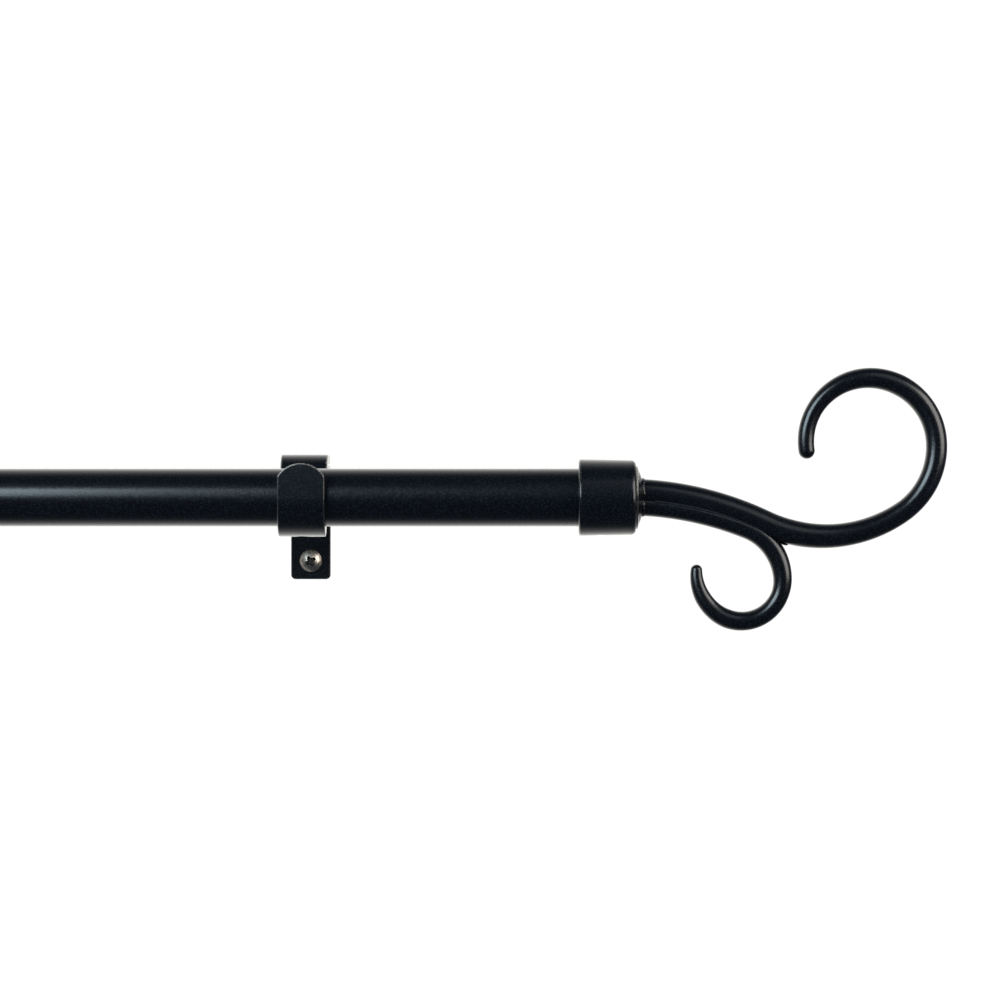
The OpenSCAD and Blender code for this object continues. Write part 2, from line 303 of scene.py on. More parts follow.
def to_object(name, shape, matrix):
    """A mesh object in metres with its faces turned outward."""
    points, faces = shape
    mesh = bpy.data.meshes.new(name)
    mesh.from_pydata([matrix @ Vector(p) for p in points], [], faces)
    work = bmesh.new()
    work.from_mesh(mesh)
    bmesh.ops.remove_doubles(work, verts=work.verts, dist=MERGE_GAP)
    bmesh.ops.dissolve_degenerate(work, edges=work.edges, dist=MERGE_GAP)
    bmesh.ops.recalc_face_normals(work, faces=work.faces)
    work.to_mesh(mesh)
    work.free()
    thing = bpy.data.objects.new(name, mesh)
    bpy.context.scene.collection.objects.link(thing)
    return thing


def apply_modifier(thing, kind, **settings):
    modifier = thing.modifiers.new(kind.lower(), kind)
    for key, value in settings.items():
        setattr(modifier, key, value)
    bpy.context.view_layer.objects.active = thing
    bpy.ops.object.modifier_apply(modifier=modifier.name)


def carve(thing, shapes, matrix, material):
    """Cuts shapes out of an object, and gives the cut faces a material."""
    for shape in shapes:
        tool = to_object("tool", shape, matrix)
        tool.data.materials.append(material)
        apply_modifier(thing, "BOOLEAN", object=tool, operation="DIFFERENCE", solver="EXACT",
                       material_mode="TRANSFER")
        bpy.data.objects.remove(tool)


def piece(name, shape, matrix, body, material, nodes=(), cuts=(), inside=None, crease=38):
    """Builds and shades one piece of the visual model, hangs it on its body and hides the imported nodes
    it stands for. Its cuts may have their own material.
    """
    thing = to_object(name, shape, matrix)
    mesh = thing.data
    mesh.materials.append(material)
    carve(thing, cuts, matrix, inside or material)
    mesh.polygons.foreach_set("use_smooth", [True] * len(mesh.polygons))
    mesh.set_sharp_from_angle(angle=math.radians(crease))
    apply_modifier(thing, "WEIGHTED_NORMAL", keep_sharp=True, weight=80)
    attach(thing, body)
    if nodes:
        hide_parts(*nodes)
    return thing


def z_prism(outline, low, high, narrow=1.0):
    """A prism along Z over an (x, y) outline; its low end may be narrower."""
    return skin([
        [(x * narrow, y * narrow, low) for x, y in outline],
        [(x, y, high) for x, y in outline],
    ])


def z_hole(x, y, radius, low, high):
    return z_prism(polygon(x, y, radius, 48), low, high)


def slot_hole(low, high):
    outline = arc(0, CLAMP_Y, SLOT_R, 0, 180, 20) + arc(0, CLAMP_Y - SLOT_LEN, SLOT_R, 180, 360, 20)
    return z_prism(outline, low, high)


# ---------- bent plates ----------

def edge_levels(thickness, edge, steps=5):
    """Levels through a plate's thickness, as (height, how far its outline is drawn in)."""
    half = thickness / 2
    upper = [(half - edge + x, edge - y) for x, y in arc(0, 0, edge, 0, 90, steps)]
    return upper + [(-height, drawn) for height, drawn in reversed(upper)]


def follow(path, start, distance):
    """The point and heading at a distance along a path of (length, turn in degrees) legs."""
    y, z, heading = start
    heading = math.radians(heading)
    for leg, (length, turn) in enumerate(path):
        last = leg == len(path) - 1
        part = distance if last else min(distance, length)
        angle = math.radians(turn) * part / length
        if turn:
            r = length / math.radians(turn)
            y += r * (math.sin(heading + angle) - math.sin(heading))
            z += r * (math.cos(heading) - math.cos(heading + angle))
        else:
            y += part * math.cos(heading)
            z += part * math.sin(heading)
        heading += angle
        distance -= part
        if distance <= 0:
            break
    return y, z, heading


def stations(path, step=5.0):
    """Distances along a path: both ends of each leg, and every few degrees of a bend."""
    marks, total = [], 0.0
    for length, turn in path:
        count = max(1, math.ceil(abs(turn) / step))
        marks += [total + length * i / count for i in range(count)]
        total += length
    return marks, total


def bent_plate(path, start, width, thickness, edge, corner, crown_r=None):
    """A strap bent along a path, with rounded edges. Its first end is a crown or has corners."""
    marks, total = stations(path)
    half = width / 2

    def half_outline(drawn):
        if crown_r:
            r = crown_r - drawn
            shoulder = math.degrees(math.acos((half - drawn) / r))
            first = [(x, crown_r - y) for x, y in arc(0, 0, r, 90, shoulder, 24)]
        else:
            first = [(0, drawn)]
            first += [(half - corner + x, corner - y) for x, y in arc(0, 0, corner - drawn, 90, 0, 6)]
        side_start = crown_r if crown_r else corner
        sides = [(half - drawn, m) for m in marks if side_start < m < total - corner]
        last = [(half - corner + x, total - corner + y) for x, y in arc(0, 0, corner - drawn, 0, 90, 6)]
        return first + sides + last + [(0, total - drawn)]

    points, faces = [], []
    levels = edge_levels(thickness, edge)
    for height, drawn in levels:
        outline = half_outline(drawn)
        for flip in (1, -1):
            for across, run in outline:
                y, z, heading = follow(path, start, run)
                y -= height * math.sin(heading)
                z += height * math.cos(heading)
                points.append((flip * across, y, z))
    count = len(outline)
    row = 2 * count
    for i in range(count - 1):
        for level in range(len(levels) - 1):
            for side in (0, count):
                a = level * row + side + i
                faces.append((a, a + 1, a + row + 1, a + row))
        for face in (0, (len(levels) - 1) * row):
            faces.append((face + i, face + i + 1, face + count + i + 1, face + count + i))
    return points, faces


def cradle_shape():
    middle_r = CRADLE_R + STRAP_T / 2
    bend_r = ARM_BEND_R - STRAP_T / 2
    path = (
        (TONGUE_RISE, 0),
        (math.pi * middle_r, 180),
        (ARM_RISE - ARM_BEND_R, 0),
        (math.pi / 2 * bend_r, -90),
        (STRAP_END_Y - CRADLE_R - ARM_BEND_R, 0),
    )
    start = (-middle_r, TONGUE_RISE, -90)
    return bent_plate(path, start, STRAP_W, STRAP_T, STRAP_EDGE, STRAP_CORNER, CROWN_R)


def wall_plate_shape():
    bend_r = PLATE_BEND_R - PLATE_T / 2
    path = (
        (PLATE_H - PLATE_BEND_R, 0),
        (math.pi / 2 * bend_r, 90),
        (WALL_Y - PLATE_BEND_R - PLATE_ARM_Y, 0),
    )
    start = (WALL_Y - PLATE_T / 2, PLATE_TOP_Z - PLATE_H, 90)
    return bent_plate(path, start, PLATE_W, PLATE_T, PLATE_EDGE, PLATE_CORNER)


# ---------- screws: each stands along Z with its head's flat side at Z = 0 ----------

def threaded(start, end, crest_r, pitch, depth, point=0.0, sharp=0.5, sides=28):
    """A rod along Z with a helical ridge, tapering over the last stretch if it has a point."""
    steps_per_turn = 9
    count = math.ceil((end - start) / (pitch / steps_per_turn))
    rings = []
    for n in range(count + 1):
        z = start + (end - start) * n / count
        fade = min(1.0, (end - z) / pitch, (z - start) / pitch)
        taper = min(1.0, POINT_SHARE + (1 - POINT_SHARE) * (z - start) / point) if point else 1.0
        ring = []
        for k in range(sides):
            phase = (z / pitch - k / sides) % 1.0
            ridge = max(0.0, 1 - abs(phase - 0.5) / sharp)
            r = taper * (crest_r - depth * (1 - ridge * fade))
            a = 2 * math.pi * k / sides
            ring.append((r * math.cos(a), r * math.sin(a), z))
        rings.append(ring)
    return skin(rings)


def pan_head(radius, height):
    """A domed head that rises from Z = 0."""
    sag = height - PAN_RIM
    dome_r = (radius * radius + sag * sag) / (2 * sag)
    reach = math.degrees(math.asin(radius / dome_r))
    outline = [(0, 0)] + arc(PAN_EDGE, radius - PAN_EDGE, PAN_EDGE, 180, 90, 3)
    outline += arc(height - dome_r, 0, dome_r, reach, 0, 14)
    return moved(lathe(outline, 72), UPRIGHT)


def cross_recess(top, turn=0):
    """A tapered cross-shaped pit for a screwdriver, from above the head down into it."""
    inner = CROSS_HALF_W * CROSS_FLARE
    arm = [(CROSS_REACH, -CROSS_HALF_W), (CROSS_REACH, CROSS_HALF_W), (inner, inner)]
    outline = []
    for _ in range(4):
        outline += arm
        arm = [(-y, x) for x, y in arm]
    pit = z_prism(outline, top - CROSS_DEPTH, top + CROSS_ABOVE, narrow=CROSS_NARROW)
    return moved(pit, Matrix.Rotation(math.radians(turn), 4, "Z"))


def hexagon_pit(bottom):
    return z_prism(polygon(0, 0, KEY_R, 6), bottom - CUT_PAST, bottom + KEY_DEPTH)


def grub(length):
    """A headless set screw from Z = 0 upward."""
    return threaded(0, length, THREAD_R, MACHINE_PITCH, MACHINE_THREAD)


# ---------- scroll bars ----------

def along(place, radius, turn):
    """The place reached from a place (x, z, heading, run) by an arc that turns by some radians."""
    x, z, heading, run = place
    r = math.copysign(radius, turn)
    return (
        x + r * (math.sin(heading + turn) - math.sin(heading)),
        z + r * (math.cos(heading) - math.cos(heading + turn)),
        heading + turn,
        run + radius * abs(turn),
    )


def route(arcs, start_z, step=RING_STEP):
    """Places along a bar that is a chain of arcs, and starts at the flange's face."""
    places = [(FLANGE_FACE_X, start_z, math.radians(START_HEADING), 0.0)]
    for radius, sweep in arcs:
        turn = math.radians(sweep)
        count = math.ceil(radius * abs(turn) / step)
        first = places[-1]
        places += [along(first, radius, turn * (i + 1) / count) for i in range(count)]
    return places


# The main bar's places in fine steps, as far as a little past the weld
MAIN_PLACES = [p for p in route(MAIN_ARCS, MAIN_START_Z, FINE_STEP) if p[3] < WELD_LEN + 10]


def beside(place):
    """The main bar's place level with a place of the small bar."""
    x, z, heading, _ = place
    c, s = math.cos(heading), math.sin(heading)
    return min(MAIN_PLACES, key=lambda q: abs((q[0] - x) * c + (q[1] - z) * s))


def seat(place, main, y):
    """How far above the small bar's middle the main bar's surface lies."""
    x, z, heading, _ = place
    height = (main[1] - z) * math.cos(heading) - (main[0] - x) * math.sin(heading)
    r = lookup(MAIN_TAPER, main[3]) + WELD_GAP
    if abs(y) >= r:
        return height
    return height - math.sqrt(r * r - y * y) / math.cos(main[2] - heading)


def bar_ring(place, radius, seated=False, aside=0.0):
    """A ring of points square to a bar, which may lie aside of the bars' own plane."""
    x, z, heading, _ = place
    main = beside(place) if seated else None
    ring = []
    for k in range(BAR_SIDES):
        a = 2 * math.pi * k / BAR_SIDES
        y = radius * math.sin(a)
        up = radius * math.cos(a)
        if seated:
            up = min(up, seat(place, main, y))
        ring.append((x - up * math.sin(heading), aside + y, z + up * math.cos(heading)))
    return ring


def bar_shape(arcs, start_z, taper, seam_len=-1.0):
    """A tapering round bar with a rounded tip, seated under the main bar as far as seam_len."""
    places = route(arcs, start_z)
    x, z, heading, run = places[-1]
    rings = [bar_ring((FLANGE_FACE_X - BAR_SINK, start_z, 0.0, 0.0), taper[0][1], seam_len > 0)]
    rings += [bar_ring(p, lookup(taper, p[3]), p[3] < seam_len) for p in places[1:]]
    tip_r = lookup(taper, run)
    tip_steps = 10
    for i in range(1, tip_steps + 1):
        a = math.radians(TIP_SWEEP * i / tip_steps)
        ahead = tip_r * math.sin(a)
        place = (x + ahead * math.cos(heading), z + ahead * math.sin(heading), heading, run)
        rings.append(bar_ring(place, tip_r * math.cos(a)))
    return skin(rings)


def weld_places(start, end, step):
    """Along a weld: the small bar's place, the main bar's place beside it, their gap and their radii."""
    for place in route(SMALL_ARCS, SMALL_START_Z, step):
        if start < place[3] < end:
            main = beside(place)
            gap = math.hypot(main[0] - place[0], main[1] - place[1])
            yield place, main, gap, lookup(MAIN_TAPER, main[3]), lookup(SMALL_TAPER, place[3])


def seam_shape(side):
    """The uneven weld along the groove between the two bars, on the front (-1) or the back (1)."""
    rings = []
    for (x, z, heading, run), _, gap, main_r, small_r in weld_places(SEAM_START, SEAM_END, RING_STEP):
        up = (gap * gap - main_r * main_r + small_r * small_r) / (2 * gap)
        groove = math.sqrt(small_r * small_r - up * up)
        wave = noise.noise(Vector((run * SEAM_WAVES, side, 0)))
        fade = min(1.0, SEAM_TIP + (SEAM_END - run) / SEAM_FADE)
        radius = SEAM_R * (1 + SEAM_UNEVEN * wave) * fade
        spot_on_seam = (x - up * math.sin(heading), z + up * math.cos(heading), heading, run)
        rings.append(bar_ring(spot_on_seam, radius, aside=side * groove))
    return skin(rings)


def root_bead_shape():
    """The lumpy ring of weld round the two bars where they meet the flange."""
    steps, sides = 96, 12
    bars = ((MAIN_START_Z, MAIN_TAPER[0][1]), (SMALL_START_Z, SMALL_TAPER[0][1]))
    rings = []
    for i in range(steps):
        a = 2 * math.pi * i / steps
        y, z = math.sin(a), math.cos(a)
        reach = max(bar_z * z + math.sqrt(r * r - (bar_z * y) ** 2) for bar_z, r in bars)
        lump = noise.noise(Vector((BEAD_LUMPS * y, BEAD_LUMPS * z, 0.5)))
        lump += noise.noise(Vector((BEAD_GRAINS * y, BEAD_GRAINS * z, 2)))
        radius = BEAD_R * (1 + BEAD_UNEVEN * lump)
        ring = []
        for x, out in polygon(0, -BEAD_SINK * radius, radius, sides):
            ring.append((FLANGE_FACE_X + BEAD_WIDEN * x, (reach + out) * y, (reach + out) * z))
        rings.append(ring)
    return skin(rings, closed=True)


def web_shape():
    """The weld that fills the crotch where the small bar leaves the main one."""
    rings = []
    for (x, z, heading, run), main, gap, main_r, small_r in weld_places(WEB_START, WEB_END, WEB_STEP):
        crotch = gap - main_r - small_r
        share = (small_r + crotch / 2) / gap
        middle_x = x + (main[0] - x) * share
        middle_z = z + (main[1] - z) * share
        done = (run - WEB_START) / (WEB_END - WEB_START)
        swell = math.sqrt(max(WEB_END_SIZE, 1 - (2 * done - 1) ** WEB_BLUNT))
        tall = swell * (WEB_T + max(0.0, crotch) / 3)
        wide = swell * (WEB_HALF_W - done)
        ring = []
        for across, up in polygon(0, 0, 1, 24):
            up *= tall
            x, z = middle_x - up * math.sin(heading), middle_z + up * math.cos(heading)
            ring.append((x, wide * across, z))
        rings.append(ring)
    return skin(rings)


# ---------- materials: lengths in metres ----------

# The edge colour is partly wear and partly a painted highlight. It grows from none to full as the cosine
# between the rounded and the true normal falls.
# The last of these is its share on edges that face sideways or down; edges that face up get all of it, a
# painted highlight from light above.
WEAR_AND_HIGHLIGHT_RADIUS = 0.0006
WEAR_AND_HIGHLIGHT_NONE = 0.99
WEAR_AND_HIGHLIGHT_FULL = 0.965
WEAR_AND_HIGHLIGHT_BELOW = 0.09


def new_material(name, **settings):
    """A Principled material. Settings are its sockets' constants."""
    material = bpy.data.materials.new(name)
    material.use_nodes = True
    tree = material.node_tree
    shader = tree.nodes["Principled BSDF"]
    for socket, value in settings.items():
        shader.inputs[socket.replace("_", " ")].default_value = value
    return material, tree, shader


def add_node(tree, kind, inputs=None, **settings):
    made = tree.nodes.new(kind)
    for key, value in settings.items():
        setattr(made, key, value)
    for key, value in (inputs or {}).items():
        made.inputs[key].default_value = value
    return made


def grain(tree, scale, detail=2.0, stretch=(1, 1, 1)):
    """Noise fixed to the object, with features of about 1 / scale metres."""
    where = add_node(tree, "ShaderNodeTexCoord")
    mapping = add_node(tree, "ShaderNodeMapping", {"Scale": stretch})
    tree.links.new(where.outputs["Object"], mapping.inputs["Vector"])
    texture = add_node(tree, "ShaderNodeTexNoise", {"Scale": scale, "Detail": detail})
    tree.links.new(mapping.outputs["Vector"], texture.inputs["Vector"])
    return texture.outputs["Fac"]


def spread(tree, source, low, high, socket, start=0.3, end=0.7):
    """Maps a noise value onto a range of numbers for a socket."""
    ranged = add_node(tree, "ShaderNodeMapRange", {
        "From Min": start, "From Max": end, "To Min": low, "To Max": high,
    })
    tree.links.new(source, ranged.inputs["Value"])
    tree.links.new(ranged.outputs["Result"], socket)


def tint(tree, source, low, high, start=0.35, end=0.65):
    """Maps a noise value onto a pair of colours."""
    ramp = add_node(tree, "ShaderNodeValToRGB")
    ramp.color_ramp.elements[0].position = start
    ramp.color_ramp.elements[0].color = (*low, 1)
    ramp.color_ramp.elements[1].position = end
    ramp.color_ramp.elements[1].color = (*high, 1)
    tree.links.new(source, ramp.inputs["Fac"])
    return ramp.outputs["Color"]


def relief(tree, shader, layers):
    """Stacks bumps, each (source, height in metres), onto the shader's normal."""
    normal = None
    for source, height in layers:
        bump = add_node(tree, "ShaderNodeBump", {"Strength": 1.0, "Distance": height})
        tree.links.new(source, bump.inputs["Height"])
        if normal:
            tree.links.new(normal, bump.inputs["Normal"])
        normal = bump.outputs["Normal"]
    tree.links.new(normal, shader.inputs["Normal"])


def edge_wear_and_highlight(tree, radius, wear_and_highlight, whole, socket):
    """Mixes a lighter colour onto edges that turn within a radius: partly wear, partly a painted
    highlight, most where the edges face up as if lit from above.
    """
    rounded = add_node(tree, "ShaderNodeBevel", {"Radius": radius}, samples=6)
    surface = add_node(tree, "ShaderNodeNewGeometry")
    turned = add_node(tree, "ShaderNodeVectorMath", operation="DOT_PRODUCT")
    tree.links.new(rounded.outputs["Normal"], turned.inputs[0])
    tree.links.new(surface.outputs["Normal"], turned.inputs[1])
    amount = add_node(tree, "ShaderNodeMapRange", {"From Min": WEAR_AND_HIGHLIGHT_NONE, "From Max": WEAR_AND_HIGHLIGHT_FULL})
    tree.links.new(turned.outputs["Value"], amount.inputs["Value"])
    # Edges that face up get the most of the edge colour: a painted highlight, as if lit from above.
    upward = add_node(tree, "ShaderNodeSeparateXYZ")
    tree.links.new(surface.outputs["Normal"], upward.inputs["Vector"])
    rubbed_and_lit = add_node(tree, "ShaderNodeMath", operation="MULTIPLY")
    tree.links.new(amount.outputs["Result"], rubbed_and_lit.inputs[0])
    spread(tree, upward.outputs["Z"], WEAR_AND_HIGHLIGHT_BELOW, 1.0, rubbed_and_lit.inputs[1], start=0.0, end=0.4)
    patchy = add_node(tree, "ShaderNodeMath", operation="MULTIPLY")
    tree.links.new(rubbed_and_lit.outputs["Value"], patchy.inputs[0])
    spread(tree, grain(tree, 900, 3), 0.65, 1.0, patchy.inputs[1], start=0.35, end=0.6)
    mix = add_node(tree, "ShaderNodeMix", data_type="RGBA")
    tree.links.new(patchy.outputs["Value"], mix.inputs["Factor"])
    tree.links.new(whole, mix.inputs["A"])
    mix.inputs["B"].default_value = (*wear_and_highlight, 1)
    tree.links.new(mix.outputs["Result"], socket)


def powder_coat(name, peel=0.000005, sand=0.000012, rough=(0.21, 0.28), wear_and_highlight=(0.8, 0.72, 0.64)):
    """Satin black powder coat: a bluish black with orange peel, a sandy sparkle, and edges in a lighter
    colour that is partly wear and partly a painted highlight.
    """
    material, tree, shader = new_material(name)
    black = (0.001, 0.0014, 0.0024)
    fleck = (0.008, 0.011, 0.017)
    flecks = tint(tree, grain(tree, 1900, 3), black, fleck, start=0.48, end=0.75)
    edge_wear_and_highlight(tree, WEAR_AND_HIGHLIGHT_RADIUS, wear_and_highlight, flecks, shader.inputs["Base Color"])
    spread(tree, grain(tree, 1400, 3), rough[0], rough[1], shader.inputs["Roughness"])
    relief(tree, shader, [(grain(tree, 800, 2), peel), (grain(tree, 2000, 3), sand)])
    return material


def plated(name, low, high, rough, scratch=0.000002):
    """Plated steel with fine drawn scratches and slightly clouded colour."""
    material, tree, shader = new_material(name, Metallic=1.0)
    tree.links.new(tint(tree, grain(tree, 900, 4), low, high), shader.inputs["Base Color"])
    spread(tree, grain(tree, 1500, 3), rough[0], rough[1], shader.inputs["Roughness"])
    relief(tree, shader, [(grain(tree, 2500, 3, stretch=(1, 1, 0.15)), scratch)])
    return material


def black_nylon():
    material, tree, shader = new_material("nylon")
    cloud = tint(tree, grain(tree, 1200, 3), (0.010, 0.010, 0.011), (0.020, 0.020, 0.022))
    tree.links.new(cloud, shader.inputs["Base Color"])
    spread(tree, grain(tree, 800, 3), 0.42, 0.55, shader.inputs["Roughness"])
    relief(tree, shader, [(grain(tree, 1800, 3), 0.000008)])
    return material


# On the black coat the edge colour is a bright painted edge highlight, partly wear; on the bars and welds
# it is a faint one.
COAT = powder_coat("powder_coat")
BAR_COAT = powder_coat("bar_coat", wear_and_highlight=(0.02, 0.022, 0.025))
WELD = powder_coat("coated_weld", peel=0.00008, rough=(0.25, 0.4), wear_and_highlight=(0.04, 0.04, 0.045))
NICKEL = plated("warm_nickel", (0.42, 0.36, 0.3), (0.78, 0.69, 0.59), (0.32, 0.48), scratch=0.00001)
# The screws' cross recesses get a darker metal: painted shade in the pits.
RECESS_SHADE = plated("screw_recess_shade", (0.06, 0.055, 0.05), (0.16, 0.14, 0.12), (0.35, 0.5))
ZINC = plated("bright_zinc", (0.42, 0.44, 0.46), (0.6, 0.61, 0.62), (0.2, 0.34))
NYLON = black_nylon()


# ---------- the pole ----------

tube_low, tube_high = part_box("outer_tube")
inner_low, inner_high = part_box("inner_tube")
tube_span = (tube_high.x - tube_low.x) / MM
inner_span = (inner_high.x - inner_low.x) / MM

piece("pole_outer_tube", sleeve(0, tube_span, TUBE_BORE_R, TUBE_R, sides=160), MOUTH,
      "pole", COAT, ["outer_tube"])
piece("pole_inner_tube", sleeve(-inner_span, 0, INNER_BORE_R, INNER_R, sides=144), INNER_END,
      "inner_pole", COAT, ["inner_tube"])

BUSH_OUTLINE = (
    [(-BUSH_LIP, INNER_R + FIT + BUSH_CHAMFER), (-BUSH_LIP + BUSH_CHAMFER, INNER_R + FIT)]
    + [(BUSH_DEPTH, INNER_R + FIT), (BUSH_DEPTH, TUBE_BORE_R), (0, TUBE_BORE_R), (0, TUBE_R)]
    + arc(-BUSH_LIP + BUSH_ROUND, TUBE_R - BUSH_ROUND, BUSH_ROUND, 90, 180, 5)
)
piece("pole_bush", lathe(BUSH_OUTLINE), MOUTH, "pole", NYLON, ["tube_bush"])

GUIDE_OUTLINE = (
    [(-GUIDE_DEPTH, GUIDE_BORE_R), (-GUIDE_DEPTH, INNER_BORE_R - GUIDE_LEAD_DROP)]
    + [(-GUIDE_DEPTH + GUIDE_LEAD, INNER_BORE_R), (0, INNER_BORE_R), (0, TUBE_BORE_R - FIT)]
    + arc(GUIDE_HEAD - GUIDE_ROUND, TUBE_BORE_R - FIT - GUIDE_ROUND, GUIDE_ROUND, 90, 0, 5)
    + [(GUIDE_HEAD, 0), (0, 0), (0, GUIDE_BORE_R)]
)
piece("pole_guide", lathe(GUIDE_OUTLINE), INNER_END, "inner_pole", NYLON, ["inner_guide"])


# ---------- brackets ----------

def from_wall(y, z):
    """Lays a shape that stands along Z out from the wall, so that its top faces the room."""
    return Matrix.Translation((0, y, z)) @ Matrix.Rotation(math.radians(90), 4, "X")


def pan_screw(name, height, turn, shank, stand, side, body, material, node):
    head = pan_head(PAN_R, height)
    screw = moved(joined(head, shank), stand)
    # The cut faces of the cross recess take the darker metal of painted shade.
    return piece(name, screw, BRACKET[side], body, material, [node] if node else (),
                 cuts=[moved(cross_recess(height, turn), stand)], inside=RECESS_SHADE, crease=45)


def add_bracket(side):
    matrix = BRACKET[side]
    bottom = -CRADLE_R - STRAP_T
    piece(f"strap_{side}", cradle_shape(), matrix, f"cradle_{side}", COAT, [f"cradle_{side}"],
          cuts=[z_hole(0, 0, TAPPED_R, bottom - CUT_PAST, -CRADLE_R + CUT_PAST),
                z_hole(0, CLAMP_Y, TAPPED_R, ARM_RISE - STRAP_T - CUT_PAST, ARM_RISE + CUT_PAST)])
    holes = [moved(z_hole(0, z, WALL_HOLE_R, -CUT_PAST, PLATE_T + CUT_PAST), from_wall(WALL_Y, 0))
             for _, z, _ in WALL_SCREWS]
    piece(f"plate_{side}", wall_plate_shape(), matrix, "wall", COAT, [f"wall_plate_{side}"],
          cuts=holes + [slot_hole(PLATE_TOP_Z - PLATE_T - CUT_PAST, PLATE_TOP_Z + CUT_PAST)])

    neck = moved(lathe([(-PLATE_T, 0), (-PLATE_T, NECK_R), (0, NECK_R), (0, 0)], 28), UPRIGHT)
    thread = threaded(-WALL_SCREW_LEN - PLATE_T, -PLATE_T, WALL_SCREW_R, WALL_SCREW_PITCH,
                      WALL_SCREW_THREAD, WALL_POINT_LEN, WALL_SCREW_SHARP)
    for name, z, turn in WALL_SCREWS:
        pan_screw(f"wall_screw_{name}_{side}", PAN_T, turn, joined(neck, thread),
                  from_wall(WALL_Y - PLATE_T, z), side, "wall", NICKEL,
                  f"wall_screws_{side}" if name == "lower" else None)

    washer_z = PLATE_TOP_Z - PLATE_T - FIT - WASHER_T
    place = Matrix.Translation((0, CLAMP_Y, washer_z))
    shank = threaded(-(ARM_RISE - SCREW_SHORT - washer_z), 0, THREAD_R, MACHINE_PITCH, MACHINE_THREAD)
    pan_screw(f"clamp_bolt_{side}", CLAMP_PAN_T, CLAMP_TURN, shank,
              place @ Matrix.Rotation(math.pi, 4, "X"), side, f"clamp_screw_{side}", ZINC,
              f"clamp_screw_{side}")
    ring = moved(sleeve(0, WASHER_T, MACHINE_R + WASHER_SLACK, WASHER_R, WASHER_EDGE, 64), place @ UPRIGHT)
    piece(f"clamp_ring_{side}", ring, matrix, f"clamp_screw_{side}", ZINC, [f"clamp_washer_{side}"])

    length = STRAP_T - SCREW_SHORT
    low = -TUBE_R - TIP_GAP - length
    piece(f"cradle_grub_{side}", moved(grub(length), Matrix.Translation((0, 0, low))), matrix,
          f"cradle_screw_{side}", ZINC, [f"cradle_screw_{side}"],
          cuts=[hexagon_pit(low)], crease=45)


# ---------- rod ends ----------

def collar_shape():
    lip, grip, end = COLLAR_LIP_ROUND, COLLAR_ROUND, COLLAR_END_ROUND
    outline = (
        arc(-COLLAR_GRIP + lip, COLLAR_BORE_R + lip, lip, 270, 180, 4)
        + arc(-COLLAR_GRIP + grip, COLLAR_R - grip, grip, 180, 90, 12)
        + arc(COLLAR_END_T - end, COLLAR_END_R - end, end, 90, 0, 10)
        + [(COLLAR_END_T, STUD_R + FIT), (FIT, STUD_R + FIT), (FIT, COLLAR_BORE_R)]
    )
    return lathe(outline, 160)


def flange_shape():
    steps = 14
    dome_x = FLANGE_BACK_X + FLANGE_RIM_T
    dome = []
    for i in range(steps + 1):
        f = i / steps
        x = dome_x + FLANGE_RISE * math.sin(math.pi / 2 * f) ** DOME_POWER
        dome.append((x, FLANGE_FACE_R + (FLANGE_R - FLANGE_FACE_R) * (1 - f)))
    stud = [(STUD_END_X, 0), (STUD_END_X, STUD_R - STUD_CHAMFER), (STUD_END_X + STUD_CHAMFER, STUD_R)]
    back = [(FLANGE_BACK_X, STUD_R), (FLANGE_BACK_X, FLANGE_R)]
    return lathe(stud + back + dome + [(FLANGE_FACE_X, 0)], 128)


def add_rod_end(side, rod_r):
    matrix = ROD_END[side]
    finial = f"finial_{side}"
    piece(f"collar_cup_{side}", collar_shape(), matrix, f"collar_{side}", COAT,
          [f"collar_{side}"], cuts=[z_hole(COLLAR_SCREW_X, 0, TAPPED_R, -COLLAR_R - CUT_PAST, 0)])
    low = -COLLAR_END_R + SCREW_SHORT
    length = -low - rod_r - TIP_GAP
    screw = moved(grub(length), Matrix.Translation((COLLAR_SCREW_X, 0, low)))
    pit = moved(hexagon_pit(low), Matrix.Translation((COLLAR_SCREW_X, 0, 0)))
    piece(f"collar_grub_{side}", screw, matrix, f"collar_screw_{side}", ZINC,
          [f"collar_screw_{side}"], cuts=[pit], crease=45)

    piece(f"flange_disc_{side}", flange_shape(), matrix, finial, COAT, [f"flange_{side}"])
    piece(f"scroll_large_{side}", bar_shape(MAIN_ARCS, MAIN_START_Z, MAIN_TAPER), matrix,
          finial, BAR_COAT, [f"main_scroll_{side}"], crease=60)
    piece(f"scroll_small_{side}", bar_shape(SMALL_ARCS, SMALL_START_Z, SMALL_TAPER, WELD_LEN), matrix,
          finial, BAR_COAT, [f"small_scroll_{side}"], crease=60)
    welds = joined(seam_shape(-1), seam_shape(1), root_bead_shape(), web_shape())
    piece(f"scroll_welds_{side}", welds, matrix, finial, WELD, crease=80)


for side in SIDES:
    add_bracket(side)
add_rod_end("right", TUBE_R)
add_rod_end("left", INNER_R)

reducer = sleeve(-COLLAR_GRIP, -REDUCER_GAP, INNER_R + FIT, COLLAR_BORE_R, REDUCER_EDGE)
piece("collar_reducer_left", reducer, ROD_END["left"], "collar_left", NYLON, ["reducer_left"],
      cuts=[z_hole(COLLAR_SCREW_X, 0, TAPPED_R, -COLLAR_R, 0)])


# ---------- studio: metres, watts ----------

# The rod hangs two metres above a round floor, whose far edge stays below the camera's view
FLOOR_Z = -2.0
FLOOR_R = 15.0
FLOOR_GLOW = 0.35


